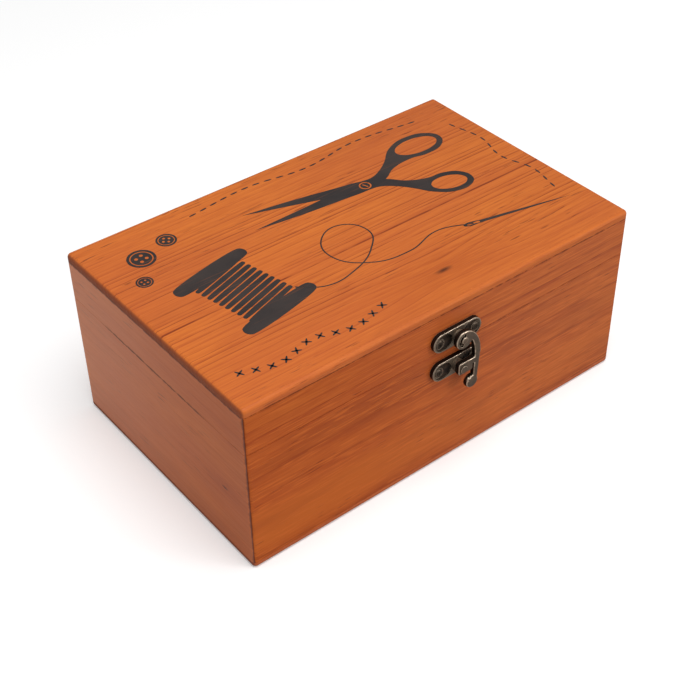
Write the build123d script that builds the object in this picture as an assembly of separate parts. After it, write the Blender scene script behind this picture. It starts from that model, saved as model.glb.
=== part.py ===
from build123d import *
import os

# A wooden sewing box, in millimetres. The origin is the centre of its underside.
# X runs along the front from left to right, Y from front to back, Z up.

# The wooden body, outside, and the pieces it is glued up from.
body_length = 215.0
body_depth = 134.4
body_height = 89.5
lid_height = 23.8
wall_thickness = 7.5
top_thickness = 4.0
bottom_thickness = 3.0
corner_radius = 2.0
top_edge_radius = 2.0
bottom_edge_radius = 2.0
arris = 0.15
lid_gap = 0.1

# Round-head wood screws, the same at the hinges and the hasp.
screw_head_radius = 1.9
screw_head_height = 0.9
screw_head_round = 0.6
screw_shank_radius = 0.9
screw_length = 5.5
screw_point = 1.8
screw_tip_radius = 0.2
cross_width = 0.6
cross_length = 2.2
cross_depth = 0.4
screw_clearance = 0.05

# Brads through the bottom panel into the walls.
brad_radius = 0.7
brad_length = 14.0
brad_head_radius = 1.3
brad_head_height = 0.8
brad_inset = 24.0

# Butt hinges on the back, knuckles outside.
hinge_width = 24.0
hinge_inset = 38.0
leaf_height = 10.5
leaf_thickness = 0.9
leaf_corner = 1.5
knuckle_radius = 1.6
knuckle_gap = 0.15
middle_knuckle = 8.0
pin_radius = 0.8
pin_overhang = 0.5
pin_end_round = 0.3
pin_clearance = 0.05
swing_clearance = 0.3
hinge_screw_spread = 14.0
hinge_screw_rise = 6.6

# Hasp plates on the front, one above the seam and one below it.
hasp_offset = 2.0
lid_plate_rise = 6.3
base_plate_drop = 9.6
plate_length = 27.2
plate_height = 9.7
plate_thickness = 2.2
plate_edge_round = 0.4
rim_width = 0.8
rim_height = 0.6
plate_screw_spread = 20.4
ring_width = 0.5
ring_height = 0.4
ring_clearance = 0.25
collar_radius = 3.0
collar_height = 0.7

# Swing hook in front of the plates, turning on a rivet in the base plate.
hook_back = 4.3
hook_thickness = 2.5
hook_round = 0.8
hook_clearance = 0.25
scroll_radius = 4.6
scroll_groove_outer = 3.3
scroll_groove_inner = 1.7
scroll_groove_depth = 1.2
scroll_groove_turn = -15.0
arm_bow = 8.2
arm_width = 3.4
arm_turn = 5.0
shaft_width = 2.4
shaft_inset = 0.1
shaft_overlap = 1.2
hub_left = 2.7
hub_right = 5.4
hub_top = 3.5
hub_foot = 2.7
hub_corner = 1.2
hub_round = 0.5
bridge_height = 3.2
tail_radius = 3.3
tail_across = 5.7
tail_drop = 10.1
tail_tuck = 0.5
tail_knob_radius = 1.4
tail_knob_across = 3.7
tail_knob_drop = 8.1
tail_knob_proud = 0.5
rivet_radius = 1.1
rivet_head_radius = 1.9
rivet_head_height = 0.6
rivet_head_round = 0.3
rivet_foot_radius = 1.7
rivet_foot_height = 0.6
rivet_clearance = 0.06
post_radius = 1.9

# Lift-out tray and the ledges it rests on.
tray_side_clearance = 0.8
tray_drop = 1.2
tray_height = 24.0
tray_wall = 4.0
tray_floor = 2.5
tray_corner = 1.0
divider_thickness = 3.0
divider_drop = 1.5
divider_spread = 64.0
lap_clearance = 0.1
notch_radius = 9.0
ledge_width = 6.0
ledge_height = 8.0

split_height = body_height - lid_height
front_face = -body_depth / 2
back_face = body_depth / 2
inner_length = body_length - 2 * wall_thickness
inner_depth = body_depth - 2 * wall_thickness
rail_low = split_height + lid_gap
rail_high = body_height - top_thickness
axis_height = split_height + lid_gap / 2
axis_depth = back_face + knuckle_radius + swing_clearance
tray_top = split_height - tray_drop
tray_bottom = tray_top - tray_height
tray_floor_top = tray_bottom + tray_floor
tray_length = inner_length - 2 * tray_side_clearance
tray_depth = inner_depth - 2 * tray_side_clearance
lid_plate_height = split_height + lid_plate_rise
base_plate_height = split_height - base_plate_drop
hook_reach = lid_plate_height - base_plate_height
hinge_place = body_length / 2 - hinge_inset
facing_front = Rot(90, 0, 0)
facing_back = Rot(-90, 0, 0)


def block(low, high):
    """A box between its lowest and highest corner."""
    middle = [(a + b) / 2 for a, b in zip(low, high)]
    size = [b - a for a, b in zip(low, high)]
    return Pos(*middle) * Box(*size)


def rod(place, radius, low, high):
    """A round bar along Z from low to high at the place given as x, y."""
    return Pos(place[0], place[1], (low + high) / 2) * Cylinder(radius, high - low)


def rounded_board(length, depth, low, high, corner):
    board = block((-length / 2, -depth / 2, low), (length / 2, depth / 2, high))
    return fillet(board.edges().filter_by(Axis.Z), corner)


def face_edges(solid, direction, end):
    """The outline edges of the solid's first or last face along a direction."""
    return solid.faces().sort_by(direction)[end].edges()


def mitred_frame(length, depth, thickness, low, high, corner, ease):
    """Four boards mitred at the corners, their outer long edges eased."""
    outside = rounded_board(length, depth, low, high, corner)
    outside = chamfer(face_edges(outside, Axis.Z, -1), ease)
    outside = chamfer(face_edges(outside, Axis.Z, 0), ease)
    x, y = length / 2, depth / 2
    inner_x, inner_y = x - thickness, y - thickness
    outlines = {
        "front": [(-x, -y), (x, -y), (inner_x, -inner_y), (-inner_x, -inner_y)],
        "right": [(x, -y), (x, y), (inner_x, inner_y), (inner_x, -inner_y)],
        "back": [(x, y), (-x, y), (-inner_x, inner_y), (inner_x, inner_y)],
        "left": [(-x, y), (-x, -y), (-inner_x, -inner_y), (-inner_x, inner_y)],
    }
    boards = {}
    for side, outline in outlines.items():
        wedge = Pos(0, 0, low) * extrude(make_face(Polyline(*outline, close=True)), high - low)
        boards[side] = outside & wedge
    return boards


def screw():
    """A screw along Z: the head stands on z = 0 and the point is below."""
    head = rod((0, 0), screw_head_radius, 0, screw_head_height)
    head = fillet(face_edges(head, Axis.Z, -1), screw_head_round)
    cross_low = screw_head_height - cross_depth
    for turn in (0, 90):
        slot = Pos(0, 0, (cross_low + screw_head_height) / 2)
        head -= slot * Rot(0, 0, turn) * Box(cross_length, cross_width, cross_depth)
    shank = rod((0, 0), screw_shank_radius, screw_point - screw_length, 0)
    point_middle = -screw_length + screw_point / 2
    point = Pos(0, 0, point_middle) * Cone(screw_tip_radius, screw_shank_radius, screw_point)
    return head + shank + point


def screw_hole(seat, turn):
    """The hole for a screw whose head seats at the place given."""
    depth = screw_length + screw_clearance
    hole = rod((0, 0), screw_shank_radius + screw_clearance, -depth, screw_head_height)
    return Pos(*seat) * turn * hole


def plate_screw_seats(height):
    seat_y = front_face - (plate_thickness - rim_height)
    half = plate_screw_spread / 2
    return [(hasp_offset + side * half, seat_y, height) for side in (-1, 1)]


def hinge_screw_seats(direction):
    """Screw seats of all leaves above the axis (1) or below it (-1)."""
    seats = []
    for place in (-hinge_place, hinge_place):
        for side in (-1, 1):
            x = place + side * hinge_screw_spread / 2
            seats.append((x, back_face + leaf_thickness, axis_height + direction * hinge_screw_rise))
    return seats


def screw_group(seats, turn):
    return Compound(children=[Pos(*seat) * turn * screw() for seat in seats])


def drilled(board, seats, turn):
    for seat in seats:
        board -= screw_hole(seat, turn)
    return board


def brad_places():
    long_side = body_length / 2 - brad_inset
    wall_x = body_length / 2 - wall_thickness / 2
    wall_y = body_depth / 2 - wall_thickness / 2
    places = [(x, y) for y in (-wall_y, wall_y) for x in (-long_side, 0, long_side)]
    return places + [(-wall_x, 0), (wall_x, 0)]


def brad(place):
    head = rod(place, brad_head_radius, 0, brad_head_height)
    return head + rod(place, brad_radius, brad_head_height, brad_length)


def make_base():
    parts = {}
    walls = mitred_frame(
        body_length, body_depth, wall_thickness, bottom_thickness, split_height, corner_radius, arris
    )
    walls["front"] = drilled(walls["front"], plate_screw_seats(base_plate_height), facing_front)
    walls["back"] = drilled(walls["back"], hinge_screw_seats(-1), facing_back)
    bottom = rounded_board(body_length, body_depth, 0, bottom_thickness, corner_radius)
    bottom = fillet(face_edges(bottom, Axis.Z, 0), bottom_edge_radius)
    bottom = chamfer(face_edges(bottom, Axis.Z, -1), arris)
    brads = Compound(children=[brad(place) for place in brad_places()])
    bottom -= brads
    for side, wall in walls.items():
        parts[f"base_{side}_wall"] = wall - brads
    parts["base_bottom_panel"] = bottom
    parts["base_brads"] = brads
    for side, name in ((-1, "left"), (1, "right")):
        wall_x = side * inner_length / 2
        edge_x = wall_x - side * ledge_width
        low = (min(wall_x, edge_x), -inner_depth / 2, tray_bottom - ledge_height)
        high = (max(wall_x, edge_x), inner_depth / 2, tray_bottom)
        parts[f"tray_ledge_{name}"] = block(low, high)
    return parts


def make_lid():
    parts = {}
    rails = mitred_frame(
        body_length, body_depth, wall_thickness, rail_low, rail_high, corner_radius, arris
    )
    rails["front"] = drilled(rails["front"], plate_screw_seats(lid_plate_height), facing_front)
    rails["back"] = drilled(rails["back"], hinge_screw_seats(1), facing_back)
    for side, rail in rails.items():
        parts[f"lid_{side}_rail"] = rail
    panel = rounded_board(body_length, body_depth, rail_high, body_height, corner_radius)
    panel = fillet(face_edges(panel, Axis.Z, -1), top_edge_radius)
    parts["lid_top_panel"] = chamfer(face_edges(panel, Axis.Z, 0), arris)
    return parts


def knuckle(low_x, high_x, direction):
    """A hinge knuckle between two x values with the tab that joins it to its leaf."""
    barrel = Pos((low_x + high_x) / 2, axis_depth, axis_height) * Rot(0, 90, 0)
    barrel = barrel * Cylinder(knuckle_radius, high_x - low_x)
    tab_end = axis_height + direction * (knuckle_radius + swing_clearance)
    low = (low_x, back_face, min(axis_height, tab_end))
    high = (high_x, back_face + leaf_thickness, max(axis_height, tab_end))
    return barrel + block(low, high)


def hinge_leaf(place, direction):
    """One leaf: the lid's goes up (1) and has the middle knuckle, the base's goes down (-1)."""
    near = axis_height + direction * (knuckle_radius + swing_clearance)
    far = axis_height + direction * leaf_height
    half = hinge_width / 2
    flange = block(
        (place - half, back_face, min(near, far)),
        (place + half, back_face + leaf_thickness, max(near, far)),
    )
    far_edges = flange.edges().filter_by(Axis.Y).sort_by(Axis.Z)
    far_edges = far_edges[2:] if direction > 0 else far_edges[:2]
    flange = fillet(far_edges, leaf_corner)
    middle = middle_knuckle / 2
    if direction > 0:
        leaf = flange + knuckle(place - middle, place + middle, direction)
    else:
        inner = middle + knuckle_gap
        leaf = flange + knuckle(place - half, place - inner, direction)
        leaf += knuckle(place + inner, place + half, direction)
    bore = Pos(place, axis_depth, axis_height) * Rot(0, 90, 0)
    leaf -= bore * Cylinder(pin_radius + pin_clearance, 2 * hinge_width)
    return drilled(leaf, hinge_screw_seats(direction), facing_back)


def hinge_pin(place):
    pin = Cylinder(pin_radius, hinge_width + 2 * pin_overhang)
    pin = fillet(pin.edges().filter_by(GeomType.CIRCLE), pin_end_round)
    return Pos(place, axis_depth, axis_height) * Rot(0, 90, 0) * pin


def make_hinges():
    parts = {}
    for place, name in ((-hinge_place, "left"), (hinge_place, "right")):
        parts[f"hinge_{name}_base_leaf"] = hinge_leaf(place, -1)
        parts[f"hinge_{name}_lid_leaf"] = hinge_leaf(place, 1)
        parts[f"hinge_{name}_pin"] = hinge_pin(place)
    parts["hinge_base_screws"] = screw_group(hinge_screw_seats(-1), facing_back)
    parts["hinge_lid_screws"] = screw_group(hinge_screw_seats(1), facing_back)
    return parts


def hasp_plate():
    """A leaf-shaped plate lying in XY with its back on z = 0, its face up."""
    outline = SlotOverall(plate_length, plate_height)
    plate = extrude(outline, plate_thickness)
    plate = fillet(face_edges(plate, Axis.Z, -1), plate_edge_round)
    floor = plate_thickness - rim_height
    pocket_length = plate_length / 2 - rim_width - collar_radius
    pocket = extrude(SlotOverall(pocket_length, plate_height - 2 * rim_width), rim_height)
    ring_inner = screw_head_radius + ring_clearance
    for side in (-1, 1):
        plate -= Pos(side * (collar_radius + pocket_length / 2), 0, floor) * pocket
        place = (side * plate_screw_spread / 2, 0)
        plate += rod(place, ring_inner + ring_width, floor, floor + ring_height) - rod(
            place, ring_inner, floor, plate_thickness
        )
        plate -= rod(place, screw_shank_radius + screw_clearance, 0, plate_thickness)
    return plate + rod((0, 0), collar_radius, 0, plate_thickness + collar_height)


def rivet_bore(top):
    """The hole for a rivet with a countersunk foot at the plate's back."""
    foot = rod((0, 0), rivet_foot_radius + rivet_clearance, 0, rivet_foot_height)
    return foot + rod((0, 0), rivet_radius + rivet_clearance, 0, top)


def hook_bar(outline, radius):
    bar = extrude(outline, hook_thickness)
    return fillet(face_edges(bar, Axis.Z, -1), radius)


def hook():
    """The hook lying in XY about its pivot, its back on z = 0, the scroll up along Y."""
    arm_rise = hook_reach + scroll_radius - arm_width / 2 - arm_turn
    half = arm_width / 2
    arm = Ellipse(arm_bow + half, arm_rise + half) - Ellipse(arm_bow - half, arm_rise - half)
    quarter = block((0, 0, 0), (arm_bow + arm_width, arm_rise + arm_width, hook_thickness))
    shaft_foot = tail_across + tail_radius - tail_tuck
    shaft_corners = [
        (arm_bow - half + shaft_inset, arm_turn + shaft_overlap),
        (arm_bow + half - shaft_inset, arm_turn + shaft_overlap),
        (shaft_foot, -tail_drop),
        (shaft_foot - shaft_width, -tail_drop),
    ]
    shaft = make_face(Polyline(*shaft_corners, close=True))
    hub_middle = (hub_right - hub_left) / 2
    hub = Pos(hub_middle, (hub_top - hub_foot) / 2) * RectangleRounded(
        hub_left + hub_right, hub_top + hub_foot, hub_corner
    )
    bridge_middle = hub_top - bridge_height / 2
    bridge_length = arm_bow - hub_middle
    bridge = Pos(hub_middle + bridge_length / 2, bridge_middle)
    body = Pos(0, arm_turn) * (hook_bar(arm, hook_round) & quarter)
    body += hook_bar(shaft, hook_round)
    body += hook_bar(hub, hub_round)
    body += hook_bar(bridge * Rectangle(bridge_length, bridge_height), hub_round)
    body += Pos(0, hook_reach) * hook_bar(Circle(scroll_radius), hook_round)
    body += Pos(tail_across, -tail_drop) * hook_bar(Circle(tail_radius), hook_round)
    knob_height = hook_thickness + tail_knob_proud - tail_knob_radius
    body += Pos(tail_knob_across, -tail_knob_drop, knob_height) * Sphere(tail_knob_radius)
    groove_low = hook_thickness - scroll_groove_depth
    groove = rod((0, 0), scroll_groove_outer, groove_low, hook_thickness)
    groove -= rod((0, 0), scroll_groove_inner, groove_low, hook_thickness)
    groove &= block((-scroll_radius, -scroll_radius, 0), (0, scroll_radius, hook_thickness))
    body -= Pos(0, hook_reach) * Rot(0, 0, scroll_groove_turn) * groove
    return body - rod((0, 0), rivet_radius + rivet_clearance, 0, hook_thickness)


def make_hasp():
    parts = {}
    pivot_top = hook_back - hook_clearance
    base_boss = plate_thickness + collar_height
    base_plate = hasp_plate() + rod((0, 0), collar_radius, base_boss, pivot_top)
    base_plate -= rivet_bore(pivot_top)
    lid_plate = hasp_plate() - rivet_bore(base_boss)
    hook_face = hook_back + hook_thickness
    rivet = rod((0, 0), rivet_foot_radius, 0, rivet_foot_height)
    head_low = hook_face + rivet_clearance
    pivot_rivet = rivet + rod((0, 0), rivet_radius, 0, head_low)
    head = rod((0, 0), rivet_head_radius, head_low, head_low + rivet_head_height)
    pivot_rivet += fillet(face_edges(head, Axis.Z, -1), rivet_head_round)
    post = rivet + rod((0, 0), rivet_radius, 0, base_boss)
    post += rod((0, 0), post_radius, base_boss, pivot_top)
    at_lid = Pos(hasp_offset, front_face, lid_plate_height) * facing_front
    at_base = Pos(hasp_offset, front_face, base_plate_height) * facing_front
    parts["hasp_lid_plate"] = at_lid * lid_plate
    parts["hasp_catch_post"] = at_lid * post
    parts["hasp_base_plate"] = at_base * base_plate
    parts["hasp_rivet"] = at_base * pivot_rivet
    parts["hasp_hook"] = at_base * Pos(0, 0, hook_back) * hook()
    parts["hasp_lid_screws"] = screw_group(plate_screw_seats(lid_plate_height), facing_front)
    parts["hasp_base_screws"] = screw_group(plate_screw_seats(base_plate_height), facing_front)
    return parts


def make_tray():
    parts = {}
    walls = mitred_frame(
        tray_length, tray_depth, tray_wall, tray_floor_top, tray_top, tray_corner, arris
    )
    notch = Pos(0, 0, tray_top) * Rot(90, 0, 0) * Cylinder(notch_radius, 2 * tray_depth)
    for side, wall in walls.items():
        notched = wall - notch if side in ("front", "back") else wall
        parts[f"tray_{side}_wall"] = notched
    parts["tray_floor"] = rounded_board(tray_length, tray_depth, tray_bottom, tray_floor_top, tray_corner)
    half_length = tray_length / 2 - tray_wall
    half_depth = tray_depth / 2 - tray_wall
    divider_top = tray_top - divider_drop
    lap = (tray_floor_top + divider_top) / 2
    half_slot = (divider_thickness + 2 * lap_clearance) / 2
    half_board = divider_thickness / 2
    long_divider = block(
        (-half_length, -half_board, tray_floor_top), (half_length, half_board, divider_top)
    )
    for side, name in ((-1, "left"), (1, "right")):
        x = side * divider_spread / 2
        cross = block(
            (x - half_board, -half_depth, tray_floor_top), (x + half_board, half_depth, divider_top)
        )
        cross -= block((x - half_board, -half_slot, tray_floor_top), (x + half_board, half_slot, lap))
        parts[f"tray_cross_divider_{name}"] = cross
        long_divider -= block((x - half_slot, -half_board, lap), (x + half_slot, half_board, divider_top))
    parts["tray_long_divider"] = long_divider
    return parts


os.makedirs("parts", exist_ok=True)
pieces = make_base() | make_lid() | make_hinges() | make_hasp() | make_tray()
for name, piece in pieces.items():
    export_step(piece, f"parts/{name}.step")
print(len(pieces), "pieces written")
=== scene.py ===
import bpy
import bmesh
import math
from mathutils import Matrix, Vector


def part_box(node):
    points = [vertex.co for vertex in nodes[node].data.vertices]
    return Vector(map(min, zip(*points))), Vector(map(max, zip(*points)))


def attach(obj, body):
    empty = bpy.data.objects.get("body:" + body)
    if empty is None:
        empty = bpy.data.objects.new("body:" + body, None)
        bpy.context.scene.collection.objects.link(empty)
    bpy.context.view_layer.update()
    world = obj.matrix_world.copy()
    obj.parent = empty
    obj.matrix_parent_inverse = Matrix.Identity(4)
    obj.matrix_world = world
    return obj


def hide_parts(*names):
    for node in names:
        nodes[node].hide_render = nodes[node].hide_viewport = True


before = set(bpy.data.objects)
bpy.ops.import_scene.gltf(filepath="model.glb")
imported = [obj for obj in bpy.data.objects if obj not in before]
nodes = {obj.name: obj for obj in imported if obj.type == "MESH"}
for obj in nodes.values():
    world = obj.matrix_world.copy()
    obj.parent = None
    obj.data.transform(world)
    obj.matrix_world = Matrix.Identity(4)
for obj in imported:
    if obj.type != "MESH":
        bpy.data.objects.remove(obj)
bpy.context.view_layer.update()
mm = 0.001
weldDistance = 1e-6  # points of a CAD mesh closer than this are one
noiseSpan = (0.3, 0.7)  # most values of a noise lie between these

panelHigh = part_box("lid_top_panel")[1]
railLow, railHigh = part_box("lid_front_rail")
wallLow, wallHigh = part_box("base_front_wall")
wallThick = wallHigh.y - wallLow.y
halfLength, halfDepth, boxHeight = panelHigh.x, panelHigh.y, panelHigh.z
print("frame loaded:", len(nodes), "pieces")


# Small helpers for node trees and meshes

def srgb(red, green, blue):
    def linear(value):
        value /= 255
        return value / 12.92 if value <= 0.04045 else ((value + 0.055) / 1.055) ** 2.4
    return (linear(red), linear(green), linear(blue), 1.0)


def fill(tree, socket, value):
    if isinstance(value, bpy.types.NodeSocket):
        tree.links.new(value, socket)
    else:
        socket.default_value = value


def addNode(tree, kind, inputs=None, **settings):
    node = tree.nodes.new(kind)
    for name, value in settings.items():
        setattr(node, name, value)
    for key, value in (inputs or {}).items():
        fill(tree, node.inputs[key], value)
    return node


def calc(tree, operation, *values, clamp=False):
    inputs = dict(enumerate(values))
    return addNode(tree, "ShaderNodeMath", inputs, operation=operation, use_clamp=clamp).outputs[0]


def times(tree, first, *others):
    for other in others:
        first = calc(tree, "MULTIPLY", first, other)
    return first


def minus(tree, first, second):
    return calc(tree, "SUBTRACT", first, second)


def vectorCalc(tree, operation, *values):
    output = 1 if operation in ("LENGTH", "DOT_PRODUCT") else 0
    inputs = dict(enumerate(values))
    return addNode(tree, "ShaderNodeVectorMath", inputs, operation=operation).outputs[output]


def split(tree, vector):
    return addNode(tree, "ShaderNodeSeparateXYZ", {0: vector}).outputs


def coordinates(tree, kind="Object"):
    return addNode(tree, "ShaderNodeTexCoord").outputs[kind]


def remap(tree, value, fromLow, fromHigh, toLow=0.0, toHigh=1.0):
    inputs = {"Value": value, "From Min": fromLow, "From Max": fromHigh, "To Min": toLow, "To Max": toHigh}
    return addNode(tree, "ShaderNodeMapRange", inputs, interpolation_type="SMOOTHSTEP").outputs[0]


def mixColor(tree, factor, first, second, blend="MIX"):
    # the colour sockets of a Mix node are its inputs 6 and 7 and its output 2
    inputs = {0: factor, 6: first, 7: second}
    settings = {"data_type": "RGBA", "blend_type": blend, "clamp_factor": True}
    return addNode(tree, "ShaderNodeMix", inputs, **settings).outputs[2]


def noise(tree, place, scale, detail=2.0, roughness=0.5, seed=0.0):
    inputs = {"Vector": place, "W": seed, "Scale": scale, "Detail": detail, "Roughness": roughness}
    return addNode(tree, "ShaderNodeTexNoise", inputs, noise_dimensions="4D").outputs["Fac"]


def bumpFrom(tree, height, distance):
    return addNode(tree, "ShaderNodeBump", {"Height": height, "Distance": distance}).outputs[0]


def newTree(name, kind, inputs, outputs):
    # an input is given by its kind, or by a number that it holds from the start
    tree = bpy.data.node_groups.new(name, kind)
    for label, given in inputs.items():
        isKind = isinstance(given, str)
        socketType = "NodeSocket" + (given if isKind else "Float")
        socket = tree.interface.new_socket(label, in_out="INPUT", socket_type=socketType)
        if not isKind:
            socket.default_value = given
    socketType = "NodeSocketGeometry" if kind == "GeometryNodeTree" else "NodeSocketFloat"
    for label in outputs:
        tree.interface.new_socket(label, in_out="OUTPUT", socket_type=socketType)
    return tree, tree.nodes.new("NodeGroupInput").outputs, tree.nodes.new("NodeGroupOutput").inputs


def putOut(tree, result, values):
    for name, value in values.items():
        tree.links.new(value, result[name])
    return tree


def useGroup(tree, group, inputs):
    return addNode(tree, "ShaderNodeGroup", inputs, node_tree=group).outputs


def newMaterial(name):
    material = bpy.data.materials.new(name)
    material.use_nodes = True
    tree = material.node_tree
    tree.nodes.clear()
    shader = addNode(tree, "ShaderNodeBsdfPrincipled")
    addNode(tree, "ShaderNodeOutputMaterial", {"Surface": shader.outputs[0]})
    return material, tree, shader


def feed(tree, shader, **sockets):
    for name, value in sockets.items():
        fill(tree, shader.inputs[name.replace("_", " ")], value)


def addObject(name, data):
    piece = bpy.data.objects.new(name, data)
    bpy.context.scene.collection.objects.link(piece)
    return piece


def meshOf(shape, name):
    mesh = bpy.data.meshes.new(name)
    shape.to_mesh(mesh)
    shape.free()
    return mesh


def toMesh(source, name):
    # the evaluated shape as a plain mesh at the origin, and the source goes
    bpy.context.view_layer.update()
    graph = bpy.context.evaluated_depsgraph_get()
    mesh = bpy.data.meshes.new_from_object(source.evaluated_get(graph), depsgraph=graph)
    mesh.transform(source.matrix_world)
    bpy.data.objects.remove(source)
    mesh.name = name
    return mesh


def joinMeshes(name, meshes, material):
    shape = bmesh.new()
    for mesh in meshes:
        shape.from_mesh(mesh)
        bpy.data.meshes.remove(mesh)
    joined = meshOf(shape, name)
    joined.materials.clear()  # this also takes every face back to the first slot
    joined.materials.append(material)
    return addObject(name, joined)


def weldedCopy(name):
    # a CAD mesh is loose triangles, so its copy is merged
    shape = bmesh.new()
    shape.from_mesh(nodes[name].data)
    bmesh.ops.remove_doubles(shape, verts=shape.verts, dist=weldDistance)
    return shape


# Camera, light and floor

camera = {
    "place": (-0.3099, -0.3924, 0.43705),
    "turn": (50.188, 0.626, -38.64),  # degrees about X, Y, Z
    "lens": 69.8,
    "sensor": 36.0,
    "nearest": 0.01,
}
light = {
    "ambient": 0.36,
    "backdrop": 1.0,
    "keyPlace": (-0.02, -0.30, 1.30),
    "keySize": 0.9,
    "keyPower": 11.2,
    "sidePlace": (0.72, -0.95, 0.42),
    "sideSize": 0.35,
    "sidePower": 2.4,
    "floorSize": 12,
    "floorDrop": 0.0001,
    "floorNear": 0.40,
    "floorFar": 1.20,
    "floorColor": (0.97, 0.97, 0.97, 1.0),
    "floorBounce": (0.72, 0.71, 0.70, 1.0),
    "floorGleam": (0.38, 0.37, 0.36, 1.0),
    "floorGlow": 0.24,
    "floorFarGlow": 1.1,
    "floorRough": 0.9,
}


def makeCamera():
    data = bpy.data.cameras.new("camera")
    data.lens = camera["lens"]
    data.sensor_width = camera["sensor"]
    data.clip_start = camera["nearest"]
    seer = addObject("camera", data)
    seer.location = camera["place"]
    seer.rotation_euler = [math.radians(angle) for angle in camera["turn"]]
    bpy.context.scene.camera = seer


def makeLamp(name, place, size, power):
    data = bpy.data.lights.new(name, "AREA")
    data.shape = "SQUARE"
    data.size = size
    data.energy = power
    lamp = addObject(name, data)
    lamp.location = place
    aim = Vector((0, 0, boxHeight / 2)) - Vector(place)
    lamp.rotation_euler = aim.to_track_quat("-Z", "Y").to_euler()


def makeWorld():
    world = bpy.data.worlds.new("studio")
    bpy.context.scene.world = world
    world.use_nodes = True
    tree = world.node_tree
    tree.nodes.clear()
    seen = addNode(tree, "ShaderNodeLightPath").outputs["Is Camera Ray"]
    strength = calc(tree, "MULTIPLY_ADD", seen, light["backdrop"] - light["ambient"], light["ambient"])
    glow = addNode(tree, "ShaderNodeBackground", {"Color": (1, 1, 1, 1), "Strength": strength})
    addNode(tree, "ShaderNodeOutputWorld", {"Surface": glow.outputs[0]})


def makeFloor():
    half = light["floorSize"] / 2
    mesh = bpy.data.meshes.new("floor")
    low = -light["floorDrop"]  # just under the box, so no two faces lie in one plane
    corners = [(-half, -half, low), (half, -half, low), (half, half, low), (-half, half, low)]
    mesh.from_pydata(corners, [], [(0, 1, 2, 3)])
    material, tree, shader = newMaterial("paleFloor")
    path = addNode(tree, "ShaderNodeLightPath").outputs
    seen = path["Is Camera Ray"]
    away = vectorCalc(tree, "LENGTH", coordinates(tree))
    away = times(tree, remap(tree, away, light["floorNear"], light["floorFar"]), seen)
    glow = times(tree, seen, light["floorGlow"])
    # only the camera sees it fade to white
    glow = calc(tree, "MULTIPLY_ADD", away, light["floorFarGlow"] - light["floorGlow"], glow)
    color = mixColor(tree, path["Is Glossy Ray"], light["floorBounce"], light["floorGleam"])
    color = mixColor(tree, seen, color, light["floorColor"])
    color = mixColor(tree, away, color, (0, 0, 0, 1))
    feed(tree, shader, Roughness=light["floorRough"], Specular_IOR_Level=0.0)
    feed(tree, shader, Base_Color=color, Emission_Color=light["floorColor"], Emission_Strength=glow)
    mesh.materials.append(material)
    addObject("floor", mesh)


makeCamera()
makeWorld()
makeLamp("keyLamp", light["keyPlace"], light["keySize"], light["keyPower"])
makeLamp("sideLamp", light["sidePlace"], light["sideSize"], light["sidePower"])
makeFloor()
bpy.context.scene.view_settings.view_transform = "Standard"
print("camera, light and floor set")


# Wood: boards sawn from ring-grown timber, all in metres

timber = {
    # stretch along the grain, across the board and into it, detail, roughness, step of the seed
    "layers": {
        "slow": ((1.6, 14, 14), 2.0, 0.5, 0.0),
        "quick": ((18, 70, 70), 3.0, 0.6, 0.0),
        "breaks": ((34, 420, 420), 2.0, 0.6, 0.0),
        "fibre": ((42, 760, 760), 3.0, 0.65, 0.0),
        "dash": ((90, 1100, 1100), 1.0, 0.5, 0.0),
        "patch": ((11, 60, 60), 1.0, 0.5, 0.0),
        "glint": ((70, 1300, 1300), 1.0, 0.5, 5.0),
        "blotch": ((9, 24, 24), 3.0, 0.55, 0.0),
        "smoke": ((10, 52, 52), 2.5, 0.5, 9.0),
    },
    "slowSway": 3.0,
    "quickSway": 0.45,
    "knotStretch": (0.32, 1, 0),
    "haloFall": -0.35,
    "unevenScale": 0.45,
    "uneven": 1.6,
    "weakestRing": 0.25,
    "bandSway": 4.0,
    "knotFray": 0.5,
    # where each mark starts and is full: along a ring, in its noise, or out from its middle
    "ringEnd": (0.95, 1.0),
    "late": (0.2, 0.93),
    "line": (0.80, 0.93),
    "breaks": (0.34, 0.56),
    "dash": (0.62, 0.72),
    "dashPatch": (0.46, 0.62),
    "glint": (0.53, 0.66),
    "glintPatch": (0.26, 0.46),
    "blotch": (0.3, 0.7),
    "smoke": (0.50, 0.66),
    "band": (0.3, 1.1),
    "knot": (0.02, 0.34),
}


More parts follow.
